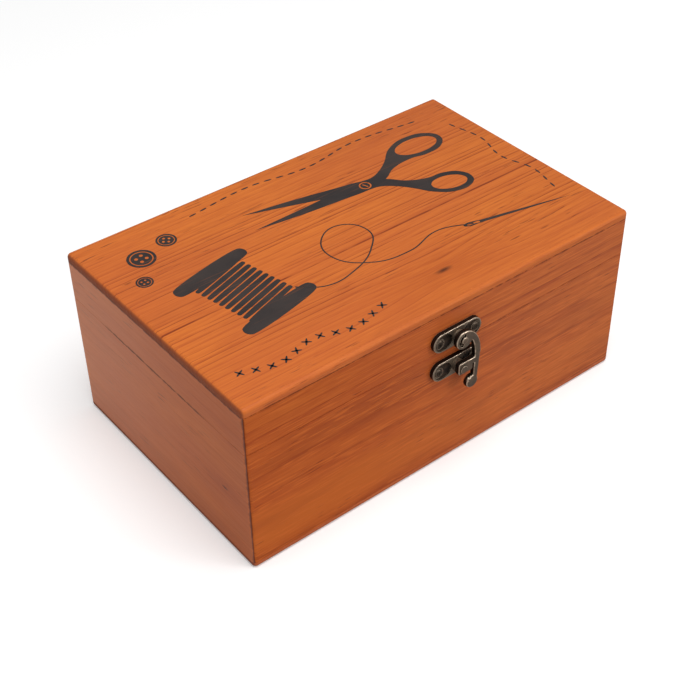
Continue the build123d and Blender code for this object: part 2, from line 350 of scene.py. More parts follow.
def makeGrainGroup():
    # Place runs along the grain, across the board and into it
    inputs = {
        "Place": "Vector", "Ring Centre": "Vector", "Ring Pitch": 0.003, "Waviness": 0.002,
        "Knot Place": "Vector", "Knot Size": 0.006, "Band Middle": 0.0, "Band Width": 0.04, "Seed": 0.0,
    }
    names = ("Late", "Line", "Fibre", "Fleck", "Glint", "Knot", "Halo", "Blotch", "Smoke", "Band")
    tree, given, result = newTree("boardGrain", "ShaderNodeTree", inputs, names)
    place, knotSize = given["Place"], given["Knot Size"]

    def layer(name):
        stretch, detail, roughness, step = timber["layers"][name]
        seed = calc(tree, "ADD", given["Seed"], step)
        return noise(tree, vectorCalc(tree, "MULTIPLY", place, stretch), 1.0, detail, roughness, seed)

    def mark(name, value):
        return remap(tree, value, *timber[name])

    # slow waves of the whole stem, and a finer wander of each ring
    slow = times(tree, minus(tree, layer("slow"), 0.5), given["Waviness"])
    quick = times(tree, minus(tree, layer("quick"), 0.5), given["Waviness"])
    wander = calc(tree, "MULTIPLY_ADD", slow, timber["slowSway"], times(tree, quick, timber["quickSway"]))

    # rings bend round the knot
    fromKnot = vectorCalc(tree, "SUBTRACT", place, given["Knot Place"])
    fromKnot = vectorCalc(tree, "MULTIPLY", fromKnot, timber["knotStretch"])
    reach = calc(tree, "DIVIDE", vectorCalc(tree, "LENGTH", fromKnot), knotSize)
    halo = calc(tree, "EXPONENT", times(tree, calc(tree, "POWER", reach, 2.0), timber["haloFall"]))
    side = calc(tree, "DIVIDE", split(tree, fromKnot)[1], times(tree, knotSize, 0.5))
    push = times(tree, halo, calc(tree, "TANH", side), knotSize)

    fromCentre = vectorCalc(tree, "SUBTRACT", place, given["Ring Centre"])
    radius = vectorCalc(tree, "LENGTH", vectorCalc(tree, "MULTIPLY", fromCentre, (0, 1, 1)))
    radius = minus(tree, calc(tree, "ADD", radius, wander), push)
    phase = calc(tree, "DIVIDE", radius, given["Ring Pitch"])
    inputs = {"W": phase, "Scale": timber["unevenScale"], "Detail": 1.0}
    uneven = addNode(tree, "ShaderNodeTexNoise", inputs, noise_dimensions="1D").outputs["Fac"]
    phase = calc(tree, "MULTIPLY_ADD", uneven, timber["uneven"], phase)
    saw = calc(tree, "FRACT", phase)
    ring = calc(tree, "ADD", calc(tree, "FLOOR", phase), given["Seed"])
    strength = addNode(tree, "ShaderNodeTexWhiteNoise", {"W": ring}, noise_dimensions="1D").outputs["Value"]
    strength = remap(tree, strength, 0.0, 1.0, timber["weakestRing"], 1.0)
    fall = remap(tree, saw, *timber["ringEnd"], 1.0, 0.0)

    patch, fibre = layer("patch"), layer("fibre")
    offBand = minus(tree, split(tree, place)[1], given["Band Middle"])
    offBand = calc(tree, "ADD", offBand, times(tree, slow, timber["bandSway"]))
    offBand = calc(tree, "DIVIDE", calc(tree, "ABSOLUTE", offBand), given["Band Width"])
    core = calc(tree, "MULTIPLY_ADD", minus(tree, fibre, 0.5), timber["knotFray"], reach)
    return putOut(tree, result, {
        "Late": times(tree, mark("late", saw), fall, strength),
        # the darkest edge of each ring comes and goes along the board
        "Line": times(tree, mark("line", saw), fall, strength, mark("breaks", layer("breaks"))),
        "Fibre": fibre,
        "Fleck": times(tree, mark("dash", layer("dash")), mark("dashPatch", patch)),
        "Glint": times(tree, mark("glint", layer("glint")), mark("glintPatch", patch)),
        "Knot": remap(tree, core, *timber["knot"], 1.0, 0.0),
        "Halo": halo,
        "Blotch": mark("blotch", layer("blotch")),
        "Smoke": mark("smoke", layer("smoke")),
        "Band": remap(tree, offBand, *timber["band"], 1.0, 0.0),
    })


# box edges turn paler: worn edges, and a painted highlight on their roundings
edgeWearAndHighlight = {
    "width": 0.0016,
    "thinToThick": (0.6, 1.4),  # shares of the width
    "breaks": (160.0, 3.0, 0.6),  # scale, detail and roughness of the noise
}


def makeEdgeGroup():
    # 1 along the twelve edges of a box given by its middle and half size
    inputs = {"Place": "Vector", "Middle": "Vector", "Half Size": "Vector", "Width": 0.002}
    tree, given, result = newTree("boxEdges", "ShaderNodeTree", inputs, ["Edge"])
    away = vectorCalc(tree, "ABSOLUTE", vectorCalc(tree, "SUBTRACT", given["Place"], given["Middle"]))
    x, y, z = split(tree, vectorCalc(tree, "SUBTRACT", given["Half Size"], away))
    kinds = ("MINIMUM", "MAXIMUM", "ADD")
    least, most, total = (calc(tree, kind, calc(tree, kind, x, y), z) for kind in kinds)
    second = minus(tree, minus(tree, total, least), most)
    breakUp = noise(tree, given["Place"], *edgeWearAndHighlight["breaks"])
    width = times(tree, given["Width"], remap(tree, breakUp, *noiseSpan, *edgeWearAndHighlight["thinToThick"]))
    edge = calc(tree, "SUBTRACT", 1.0, calc(tree, "DIVIDE", second, width), clamp=True)
    return putOut(tree, result, {"Edge": edge})


glueLines = {
    "thinToThick": (0.3, 1.5),  # shares of the width
    "mitreSlope": 0.7,
    "fadePast": 4.0,  # how fast a mitre line ends past the rails and inside the walls
    # scale, detail, roughness and seed of each noise
    "breaks": (260.0, 3.0, 0.6, 6.0),
    "patches": (16.0, 2.0, 0.5, 8.0),
    "patchesShown": (0.38, 0.58, 0.1, 1.0),
    "middle": (0.20, 0.30),  # from the middle of a board, as shares of the box's length
}


def makeJointGroup():
    # dark glue lines: mitres at the corners, the lid panel's joint and the seam
    inputs = {
        "Place": "Vector", "Half Length": 0.1, "Half Depth": 0.07, "Panel Joint": 0.08,
        "Foot Joint": 0.003, "Seam": 0.066, "Wall": 0.0075, "Width": 0.0005,
    }
    tree, given, result = newTree("jointLines", "ShaderNodeTree", inputs, ("Joint", "Seam", "Patches"))
    x, y, z = split(tree, given["Place"])
    inX = minus(tree, given["Half Length"], calc(tree, "ABSOLUTE", x))
    inY = minus(tree, given["Half Depth"], calc(tree, "ABSOLUTE", y))
    deep = calc(tree, "MINIMUM", inX, inY)  # how far inside the outer faces
    breakUp = noise(tree, given["Place"], *glueLines["breaks"])
    width = times(tree, given["Width"], remap(tree, breakUp, *noiseSpan, *glueLines["thinToThick"]))

    mitre = times(tree, calc(tree, "ABSOLUTE", minus(tree, inX, inY)), glueLines["mitreSlope"])
    overPanel = minus(tree, z, given["Panel Joint"])
    underFoot = minus(tree, given["Foot Joint"], z)
    beyond = calc(tree, "MAXIMUM", calc(tree, "MAXIMUM", overPanel, underFoot), 0.0)
    pastWall = calc(tree, "MAXIMUM", minus(tree, deep, given["Wall"]), 0.0)
    past = calc(tree, "MAXIMUM", beyond, pastWall)
    mitre = calc(tree, "MULTIPLY_ADD", past, glueLines["fadePast"], mitre)

    def outerLine(distance):
        return calc(tree, "ADD", calc(tree, "ABSOLUTE", distance), deep)

    def lineAt(distance):
        return calc(tree, "SUBTRACT", 1.0, calc(tree, "DIVIDE", distance, width), clamp=True)

    flat = vectorCalc(tree, "MULTIPLY", given["Place"], (1, 1, 0))
    return putOut(tree, result, {
        "Joint": lineAt(calc(tree, "MINIMUM", mitre, outerLine(overPanel))),
        "Seam": lineAt(outerLine(minus(tree, z, given["Seam"]))),
        "Patches": remap(tree, noise(tree, flat, *glueLines["patches"]), *glueLines["patchesShown"]),
    })


grainGroup = makeGrainGroup()
edgeGroup = makeEdgeGroup()
jointGroup = makeJointGroup()

stain = {
    "early": srgb(220, 116, 44),
    "late": srgb(180, 80, 30),
    "line": srgb(138, 56, 22),
    "red": srgb(194, 90, 44),
    "fleck": srgb(104, 38, 16),
    "knot": srgb(98, 46, 22),
    "smoke": srgb(146, 66, 34),
    "endGrain": srgb(136, 66, 40),
    # edge: pale colour of the box edges, worn and with a painted highlight, and of the glints
    "edge": srgb(230, 122, 50),
    "joint": srgb(84, 30, 14),
    "lateShare": 0.5,
    "lineShare": 0.75,
    "fibreShare": 1.9,
    "fleckShare": 0.45,
    "redShare": 0.5,
    "endShare": 0.8,
    "jointShare": 0.85,
    "rough": (0.38, 0.54),
    "specular": 0.5,
    "bump": 0.00008,
}
bare = {
    "early": srgb(222, 184, 132),
    "late": srgb(186, 134, 82),
    "line": srgb(160, 106, 60),
    "red": srgb(212, 166, 112),
    "fleck": srgb(150, 98, 56),
    "knot": srgb(112, 66, 38),
    "smoke": srgb(196, 150, 100),
    "endGrain": srgb(184, 140, 92),
    # edge: pale colour of the box edges, worn and with a painted highlight, and of the glints
    "edge": srgb(226, 192, 146),
    "joint": srgb(140, 96, 60),
    "lateShare": 0.5,
    "lineShare": 0.6,
    "fibreShare": 1.4,
    "fleckShare": 0.4,
    "redShare": 0.5,
    "endShare": 0.6,
    "jointShare": 0.0,
    "rough": (0.55, 0.72),
    "specular": 0.3,
    "bump": 0.0001,
}

# What holds for every board unless its own entry says otherwise
anyBoard = {
    "knotPlace": (0.9, 0, 0),  # off the board, so it has none
    "knotSize": 0.004,
    "contrast": 1.0,
    "fibre": 1.0,
    "fibreMiddle": 0.42,
    "paleBand": (0.0, 0.0),  # from the first end to the other, as are seamShares and fade
    "smokeShare": 0.1,
    "glintShare": 0.2,
    "haloShare": 0.45,
    "edgeShare": 0.4,
    "offBandLines": 0.3,
    "ends": (0.40, 0.85),
    # tints: stain colours, and on some boards a painted sheen
    "tintsAndSheen": (),
    "hue": (1.0, 1.0, 1.0),
    # fade: a brightness ramp along the board, partly stain and partly painted light
    "fade": (1.0, 1.0),
    "jointWidth": 0.0005,
    "seamShares": (0.5, 0.5),
    "seamMiddle": 0.0,
    "roughFibre": (0.2, 0.8),
    "lateHeight": 0.5,
}


def woodMaterial(name, finish, board):
    # a board's axes say which way its grain, its width and its depth run
    board = {**anyBoard, "fleckShare": finish["fleckShare"], "specular": finish["specular"], **board}
    material, tree, shader = newMaterial(name)
    place = coordinates(tree)
    parts = split(tree, place)
    along, across, depth = (parts["XYZ".index(axis)] for axis in board["axes"])
    laid = addNode(tree, "ShaderNodeCombineXYZ", {0: along, 1: across, 2: depth}).outputs[0]
    grain = useGroup(tree, grainGroup, {
        "Place": laid, "Ring Centre": board["ringCentre"], "Ring Pitch": board["ringPitch"],
        "Waviness": board["waviness"], "Knot Place": board["knotPlace"], "Knot Size": board["knotSize"],
        "Band Middle": board["band"][0], "Band Width": board["band"][1], "Seed": board["seed"],
    })
    lines = useGroup(tree, jointGroup, {
        "Place": place, "Half Length": halfLength, "Half Depth": halfDepth, "Panel Joint": railHigh.z,
        "Foot Joint": wallLow.z, "Seam": (wallHigh.z + railLow.z) / 2,
        "Wall": wallThick, "Width": board["jointWidth"],
    })
    edge = useGroup(tree, edgeGroup, {
        "Place": place, "Middle": (0, 0, boxHeight / 2),
        "Half Size": (halfLength, halfDepth, boxHeight / 2), "Width": edgeWearAndHighlight["width"],
    })["Edge"]

    share = remap(tree, along, -halfLength, halfLength)
    shown = times(tree, remap(tree, share, 0.0, 1.0, *board["seamShares"]), lines["Patches"])
    fromMiddle = calc(tree, "ABSOLUTE", minus(tree, share, 0.5))
    fromMiddle = remap(tree, fromMiddle, *glueLines["middle"], board["seamMiddle"], 0.0)
    shown = calc(tree, "MAXIMUM", shown, fromMiddle)
    joint = calc(tree, "MAXIMUM", lines["Joint"], times(tree, lines["Seam"], shown))

    late = times(tree, grain["Late"], finish["lateShare"] * board["contrast"])
    fibre = minus(tree, grain["Fibre"], board["fibreMiddle"])
    late = calc(tree, "MULTIPLY_ADD", fibre, finish["fibreShare"] * board["fibre"], late, clamp=True)
    pale = times(tree, grain["Band"], remap(tree, share, 0.0, 1.0, *board["paleBand"]))
    inBand = calc(tree, "MULTIPLY_ADD", grain["Band"], 1 - board["offBandLines"], board["offBandLines"])
    lineShare = finish["lineShare"] * board.get("lines", board["contrast"])
    line = calc(tree, "MULTIPLY", times(tree, grain["Line"], inBand), lineShare, clamp=True)
    # faces square to the grain drink more stain
    facing = split(tree, coordinates(tree, "Normal"))["XYZ".index(board["axes"][0])]
    ends = remap(tree, calc(tree, "ABSOLUTE", facing), *board["ends"])

    color = mixColor(tree, late, finish["early"], finish["late"])
    for amount, part in (
        (times(tree, grain["Blotch"], finish["redShare"]), "red"),
        (pale, "early"),
        (times(tree, grain["Smoke"], board["smokeShare"]), "smoke"),
        (line, "line"),
        (times(tree, grain["Halo"], board["haloShare"]), "late"),
        (times(tree, grain["Fleck"], board["fleckShare"]), "fleck"),
        (times(tree, grain["Glint"], board["glintShare"]), "edge"),
        (grain["Knot"], "knot"),
        # edges: partly worn, partly a painted highlight on the roundings
        (times(tree, edge, board["edgeShare"]), "edge"),
        (times(tree, ends, finish["endShare"]), "endGrain"),
    ):
        color = mixColor(tree, amount, color, finish[part])
    # tints of stain, and a painted sheen on some boards
    for tintAndSheen, low, high in board["tintsAndSheen"]:
        color = mixColor(tree, remap(tree, share, 0.0, 1.0, low, high), color, tintAndSheen)
    # fade: a brightness ramp along the board, partly stain and partly painted light
    first, last = ([level * part for part in board["hue"]] + [1.0] for level in board["fade"])
    color = mixColor(tree, 1.0, color, mixColor(tree, share, first, last), "MULTIPLY")
    color = mixColor(tree, times(tree, joint, finish["jointShare"]), color, finish["joint"])

    height = calc(tree, "MULTIPLY_ADD", grain["Late"], board["lateHeight"], grain["Fibre"])
    height = minus(tree, height, grain["Fleck"])
    feed(
        tree, shader, Base_Color=color, Specular_IOR_Level=board["specular"],
        Roughness=remap(tree, grain["Fibre"], *board["roughFibre"], *finish["rough"]),
        Normal=bumpFrom(tree, height, finish["bump"]),
    )
    return material


# The box was glued up closed and sawn open, so the grain runs on across the seam
boards = {
    "top": {
        "axes": "XYZ", "ringCentre": (0, 0.42, -0.10), "ringPitch": 0.0029, "waviness": 0.0026,
        "knotPlace": (0.012, -0.048, 0), "knotSize": 0.0062, "band": (0.0, 0.045), "seed": 3.0,
        # fade: lighter toward the left end and darker toward the right, partly stain and partly painted light
        "contrast": 0.9, "lines": 1.9, "fleckShare": 0.6, "fade": (1.05, 0.96), "hue": (1.0, 1.08, 1.16),
        "specular": 0.2,
    },
    "front": {
        "axes": "XZY", "ringCentre": (0, 0.020, -0.020), "ringPitch": 0.0050, "waviness": 0.0034,
        "band": (0.018, 0.015), "seed": 11.0, "contrast": 1.3, "lines": 3.4, "fibre": 1.25,
        # its tints: darker and redder toward the left end, and a pinkish painted sheen toward the right end;
        # its fade darkens the right end, partly painted shade
        "tintsAndSheen": ((srgb(150, 56, 8), 0.30, 0.0), (srgb(196, 128, 110), 0.0, 0.12)),
        "fade": (1.02, 0.87), "paleBand": (0.9, 0.2), "glintShare": 0.7, "fleckShare": 0.65,
        "smokeShare": 0.34, "specular": 0.12, "seamShares": (0.35, 0.75),
    },
    "back": {
        "axes": "XZY", "ringCentre": (0, 0.055, 0.022), "ringPitch": 0.0055, "waviness": 0.003,
        "knotPlace": (-0.051, 0.042, 0), "knotSize": 0.006, "band": (0.03, 0.03), "seed": 17.0,
        "contrast": 0.8, "tintsAndSheen": ((srgb(146, 56, 16), 0.2, 0.2),),
    },
    "left": {
        "axes": "YZX", "ringCentre": (0, 0.012, -0.030), "ringPitch": 0.0070, "waviness": 0.003,
        "knotPlace": (-0.0495, 0.035, 0), "knotSize": 0.0028, "band": (0.02, 0.02), "seed": 23.0,
        # painted sheen: its tint and fade make it paler and brighter toward the back end
        "contrast": 0.28, "fibre": 0.5, "specular": 0.9, "tintsAndSheen": ((srgb(214, 168, 146), 0.0, 0.34),),
        "fade": (0.94, 1.30), "seamShares": (0.1, 0.0), "seamMiddle": 1.0, "jointWidth": 0.0009,
    },
    "right": {
        "axes": "YZX", "ringCentre": (0, 0.140, 0.020), "ringPitch": 0.0048, "waviness": 0.0026,
        "band": (0.06, 0.03), "seed": 29.0, "contrast": 0.8,
    },
    "bottom": {
        "axes": "XYZ", "ringCentre": (0, -0.30, 0.05), "ringPitch": 0.0042, "waviness": 0.003,
        "band": (0.0, 0.05), "seed": 31.0, "tintsAndSheen": ((srgb(146, 56, 16), 0.3, 0.3),),
    },
}
trayBoards = {
    "long": {
        "axes": "XZY", "ringCentre": (0, -0.03, 0.05), "ringPitch": 0.003, "waviness": 0.002,
        "band": (0.05, 0.02), "seed": 41.0,
    },
    "cross": {
        "axes": "YZX", "ringCentre": (0, 0.12, 0.04), "ringPitch": 0.0034, "waviness": 0.002,
        "band": (0.05, 0.02), "seed": 47.0,
    },
    "flat": {
        "axes": "XYZ", "ringCentre": (0, 0.02, -0.06), "ringPitch": 0.0046, "waviness": 0.004,
        "knotPlace": (-0.06, 0.03, 0), "knotSize": 0.006, "band": (0.0, 0.04), "seed": 53.0,
    },
}


# Antique bronze of the hinges and the hasp, rubbed bright where hands reach it, with painted highlights on
# its roundings and front faces and painted shade on its sides

bronze = {
    "deep": srgb(50, 41, 36),
    "patina": srgb(98, 80, 66),
    "wornAndHighlight": srgb(240, 216, 190),
    "sideShade": srgb(28, 20, 16),
    "sideShadeShare": 0.8,
    "metallic": 0.85,
    "rough": (0.50, 0.30),  # dull, rubbed
    "bump": 0.00006,
    "edgeRadius": 0.0004,
    "edgeReach": 0.3,
    "bevelSamples": 6,
    # scale, detail, roughness and seed of each noise
    "breaks": (420.0, 4.0, 0.6, 0.0),
    "clouds": (240.0, 5.0, 0.65, 4.0),
    "cast": (1500.0, 3.0, 0.6, 9.0),
    "breaksShown": (0.30, 0.62, 0.35, 1.0),
    "cloudsShown": (0.35, 0.7),
    # by how far the normal lies along Y: sides get painted shade, and a rounding is rubbed and gets a painted
    # highlight
    "side": (0.1, 0.5),
    "roundingFrom": (0.25, 0.6),
    "roundingTo": (0.8, 0.985),
    "rimStands": (0.0019, 0.00215),  # how far before the box the rubbed faces stand; these also get a painted highlight
    "rimShare": 0.28,
    "hookStands": (0.0064, 0.0068),
    "hookShare": 0.14,
    "screwEdges": 0.35,
    # screwTone: screws darker all over, as painted shade of the recesses they sit in
    "screwTone": 0.7,
}


def makeWearAndPaintedLightGroup():
    inputs = {"Place": "Vector", "Normal": "Vector", "Radius": 0.0004, "Reach": 0.3}
    tree, given, result = newTree("rubbedEdgesAndPaintedLight", "ShaderNodeTree", inputs, ("WearAndHighlight", "Side", "Patina", "Cast"))
    bevel = addNode(tree, "ShaderNodeBevel", {"Radius": given["Radius"]}, samples=bronze["bevelSamples"])
    soft = bevel.outputs[0]
    hard = addNode(tree, "ShaderNodeNewGeometry").outputs["Normal"]
    bend = calc(tree, "SUBTRACT", 1.0, vectorCalc(tree, "DOT_PRODUCT", soft, hard))
    wearAndPaintedLight = calc(tree, "DIVIDE", bend, given["Reach"], clamp=True)
    # the faces look along Y, so a rounding shows where the normal leaves that axis
    facing = calc(tree, "ABSOLUTE", split(tree, given["Normal"])[1])
    # painted highlight: a thin bright band along each rounding, joined with the rubbed edges
    rounding = remap(tree, facing, *bronze["roundingFrom"])
    rounding = times(tree, rounding, remap(tree, facing, *bronze["roundingTo"], 1.0, 0.0))
    wearAndPaintedLight = calc(tree, "MAXIMUM", wearAndPaintedLight, rounding)
    breakUp = noise(tree, given["Place"], *bronze["breaks"])
    clouds = noise(tree, given["Place"], *bronze["clouds"])
    return putOut(tree, result, {
        "WearAndHighlight": times(tree, wearAndPaintedLight, remap(tree, breakUp, *bronze["breaksShown"])),
        "Side": remap(tree, facing, *bronze["side"], 1.0, 0.0),
        "Patina": remap(tree, clouds, *bronze["cloudsShown"]),
        "Cast": noise(tree, given["Place"], *bronze["cast"]),
    })


wearAndPaintedLightGroup = makeWearAndPaintedLightGroup()


def bronzeMaterial(name, stands=None, standShare=0.0, edgeShare=1.0, tone=1.0):
    # stands: faces this far before the box are rubbed bright, partly wear and partly a painted highlight
    material, tree, shader = newMaterial(name)
    place = coordinates(tree)
    wearAndPaintedLight = useGroup(tree, wearAndPaintedLightGroup, {
        "Place": place, "Normal": coordinates(tree, "Normal"),
        "Radius": bronze["edgeRadius"], "Reach": bronze["edgeReach"],
    })
    rubbedAndLit = times(tree, wearAndPaintedLight["WearAndHighlight"], edgeShare)
    if stands:
        proud = minus(tree, -halfDepth, split(tree, place)[1])
        rubbedAndLit = calc(tree, "MAXIMUM", rubbedAndLit, times(tree, remap(tree, proud, *stands), standShare))
    color = mixColor(tree, wearAndPaintedLight["Patina"], bronze["deep"], bronze["patina"])
    # painted shade: faces turned sideways are darkened
    color = mixColor(tree, times(tree, wearAndPaintedLight["Side"], bronze["sideShadeShare"]), color, bronze["sideShade"])
    # rubbed bronze together with painted highlight on edges, roundings and proud faces
    color = mixColor(tree, rubbedAndLit, color, bronze["wornAndHighlight"])
    color = mixColor(tree, 1.0, color, (tone, tone, tone, 1.0), "MULTIPLY")
    feed(
        tree, shader, Base_Color=color, Metallic=bronze["metallic"],
        Roughness=remap(tree, rubbedAndLit, 0.0, 1.0, *bronze["rough"]),
        Normal=bumpFrom(tree, wearAndPaintedLight["Cast"], bronze["bump"]),
    )
    return material


bradSteel = {
    "clean": srgb(150, 148, 144),
    "dull": srgb(96, 92, 88),
    "clouds": (900.0, 3.0),  # scale and detail of the noise
    "rough": (0.28, 0.5),  # clean, dull
}


def steelMaterial():
    material, tree, shader = newMaterial("brightSteel")
    dull = remap(tree, noise(tree, coordinates(tree), *bradSteel["clouds"]), *noiseSpan)
    color = mixColor(tree, dull, bradSteel["clean"], bradSteel["dull"])
    rough = remap(tree, dull, 0.0, 1.0, *bradSteel["rough"])
    feed(tree, shader, Base_Color=color, Metallic=1.0, Roughness=rough)
    return material


charcoal = {
    "dark": srgb(46, 40, 40),
    "faded": srgb(62, 53, 50),
    "clouds": (60.0, 3.0),  # scale and detail of the noise
    "wood": srgb(112, 66, 44),
    "poreStretch": (40, 1200, 1200),
    "pores": (1.0, 2.0, 0.6, 2.0),  # scale, detail, roughness and seed
    "poresShown": (0.56, 0.74),
    "poreShare": 0.6,
    "rough": 0.55,
    "specular": 0.3,
}


def inkMaterial():
    # charcoal print, thin enough to show some of the wood's pores
    material, tree, shader = newMaterial("charcoalPrint")
    place = coordinates(tree)
    pores = noise(tree, vectorCalc(tree, "MULTIPLY", place, charcoal["poreStretch"]), *charcoal["pores"])
    pores = times(tree, remap(tree, pores, *charcoal["poresShown"]), charcoal["poreShare"])
    faded = remap(tree, noise(tree, place, *charcoal["clouds"]), *noiseSpan)
    color = mixColor(tree, faded, charcoal["dark"], charcoal["faded"])
    color = mixColor(tree, pores, color, charcoal["wood"])
    feed(tree, shader, Base_Color=color, Roughness=charcoal["rough"], Specular_IOR_Level=charcoal["specular"])
    return material


bronzePlain = bronzeMaterial("antiqueBronze")
bronzeRim = bronzeMaterial("antiqueBronzeRim", bronze["rimStands"], bronze["rimShare"])
bronzeHook = bronzeMaterial("antiqueBronzeHook", bronze["hookStands"], bronze["hookShare"])
# screws toned darker: painted shade of their recesses
bronzeScrew = bronzeMaterial("antiqueBronzeScrew", edgeShare=bronze["screwEdges"], tone=bronze["screwTone"])
steel = steelMaterial()
ink = inkMaterial()


def dress(material, *names):
    for name in names:
        slots = nodes[name].data.materials
        slots.clear()
        slots.append(material)


dress(woodMaterial("stainedTop", stain, boards["top"]), "lid_top_panel")
dress(woodMaterial("stainedBottom", stain, boards["bottom"]), "base_bottom_panel")
for side in ("front", "back", "left", "right"):
    wood = woodMaterial(f"stained{side.title()}", stain, boards[side])
    dress(wood, f"lid_{side}_rail", f"base_{side}_wall")
trayLong = woodMaterial("trayLong", bare, trayBoards["long"])
trayCross = woodMaterial("trayCross", bare, trayBoards["cross"])
dress(trayLong, "tray_front_wall", "tray_back_wall", "tray_long_divider")
for side in ("left", "right"):
    dress(trayCross, f"tray_{side}_wall", f"tray_cross_divider_{side}", f"tray_ledge_{side}")
    dress(bronzePlain, f"hinge_{side}_base_leaf", f"hinge_{side}_lid_leaf", f"hinge_{side}_pin")
dress(woodMaterial("trayFlat", bare, trayBoards["flat"]), "tray_floor")
dress(bronzeRim, "hasp_lid_plate", "hasp_base_plate")
dress(bronzeHook, "hasp_rivet")
dress(bronzePlain, "hasp_catch_post")
dress(steel, "base_brads")
print("materials made")


# The hook is a casting: its edges run soft and the scroll curls round a raised eye

casting = {
    "voxel": 0.13 * mm,
    "smoothing": 12,
    "scrollRadius": 4.6 * mm,
    "eyeRadius": 1.6 * mm,
    "eyeProud": 0.5 * mm,
    "knobProud": 0.5 * mm,  # how far the tail's knob stands before the face
    "eyeRings": 16,
}


def castHook():
    low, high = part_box("hasp_hook")
    shape = weldedCopy("hasp_hook")
    scroll = casting["scrollRadius"]
    middle = Matrix.Translation((low.x + scroll, low.y + casting["knobProud"], high.z - scroll))
    size = Matrix.Diagonal((casting["eyeRadius"], casting["eyeProud"], casting["eyeRadius"], 1))
    rings = casting["eyeRings"]
    bmesh.ops.create_uvsphere(shape, u_segments=2 * rings, v_segments=rings, radius=1.0, matrix=middle @ size)
    piece = addObject("hookCasting", meshOf(shape, "hookCasting"))
    skin = piece.modifiers.new("skin", "REMESH")
    skin.mode = "VOXEL"
    skin.voxel_size = casting["voxel"]
    piece.modifiers.new("soften", "SMOOTH").iterations = casting["smoothing"]
    piece = joinMeshes("hasp_hook_casting", [toMesh(piece, "hookCasting")], bronzeHook)
    piece.data.shade_smooth()
    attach(piece, "hook")
    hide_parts("hasp_hook")


castHook()
print("hook cast")


# Screws, one lathe-turned shape set at every seat that the frame gives

screw = {
    "headRadius": 1.9 * mm,
    "headHeight": 0.9 * mm,
    "headWaist": 0.94,  # radius under the head, as a share
    "headRim": 0.25,  # height of the rim under the dome, as a share
    "shankRadius": 0.88 * mm,
    "rootRadius": 0.66 * mm,
    "length": 5.5 * mm,
    "point": 1.8 * mm,
    "tipWidth": 0.4,  # radius of the tip, as a share of the root's
    "tipAt": 0.25,  # shares of the point's length, up from its end
    "threadFrom": 0.5,
    "threadPitch": 0.6 * mm,
    "crossLength": 2.2 * mm,
    "crossWidth": 0.62 * mm,
    "crossDepth": 0.45 * mm,
    "sides": 28,
    "domeSteps": 6,
    "sharpAngle": 38,  # degrees
    "weld": 1e-7,
}


def screwProfile():
    # radius and height from the point up to the middle of the dome
    bottom, pitch, rim = -screw["length"], screw["threadPitch"], screw["headRim"]
    tip = (screw["rootRadius"] * screw["tipWidth"], bottom + screw["point"] * screw["tipAt"])
    points = [(0.0, bottom), tip]
    height = bottom + screw["point"] * screw["threadFrom"]
    while height < -pitch:
        points.append((screw["rootRadius"], height))
        points.append((screw["shankRadius"], height + pitch / 2))
        height += pitch
    points.append((screw["shankRadius"], 0.0))
    points.append((screw["headRadius"] * screw["headWaist"], 0.0))
    for step in range(screw["domeSteps"]):
        angle = math.pi / 2 * step / screw["domeSteps"]
        rise = screw["headHeight"] * (rim + (1 - rim) * math.sin(angle))
        points.append((screw["headRadius"] * math.cos(angle), rise))
    points.append((0.0, screw["headHeight"]))
    return points


def makeScrew():
    shape = bmesh.new()
    verts = [shape.verts.new((radius, 0, height)) for radius, height in screwProfile()]
    edges = [shape.edges.new(pair) for pair in zip(verts, verts[1:])]
    bmesh.ops.spin(
        shape, geom=verts + edges, axis=(0, 0, 1), cent=(0, 0, 0),
        angle=math.tau, steps=screw["sides"], use_merge=True,
    )
    bmesh.ops.remove_doubles(shape, verts=shape.verts, dist=screw["weld"])
    bmesh.ops.recalc_face_normals(shape, faces=shape.faces)
    turned = addObject("screwShape", meshOf(shape, "screwShape"))
    size = Matrix.Diagonal((screw["crossLength"], screw["crossWidth"], 2 * screw["crossDepth"], 1))
    middle = Matrix.Translation((0, 0, screw["headHeight"]))
    cutters = []
    for turn in (0.0, math.pi / 2):
        bar = bmesh.new()
        bmesh.ops.create_cube(bar, size=1.0)
        bar.transform(middle @ Matrix.Rotation(turn, 4, "Z") @ size)
        cutters.append(addObject("crossCutter", meshOf(bar, "crossCutter")))
        cut = turned.modifiers.new("cross", "BOOLEAN")
        cut.object = cutters[-1]
        cut.operation = "DIFFERENCE"
        cut.solver = "EXACT"
    mesh = toMesh(turned, "screwShape")
    for cutter in cutters:
        bpy.data.objects.remove(cutter)
    mesh.shade_smooth()
    mesh.set_sharp_from_angle(angle=math.radians(screw["sharpAngle"]))
    return addObject("screwShape", mesh)


def placeItems(tree, given, result, points, rotation):
    item = addNode(tree, "GeometryNodeObjectInfo", {"Object": given["Item"]}).outputs["Geometry"]
    inputs = {"Points": points, "Instance": item, "Rotation": rotation}
    placed = addNode(tree, "GeometryNodeInstanceOnPoints", inputs).outputs[0]
    real = addNode(tree, "GeometryNodeRealizeInstances", {0: placed}).outputs[0]
    dressed = addNode(tree, "GeometryNodeSetMaterial", {"Geometry": real, "Material": given["Material"]})
    return putOut(tree, result, {"Geometry": dressed.outputs[0]})


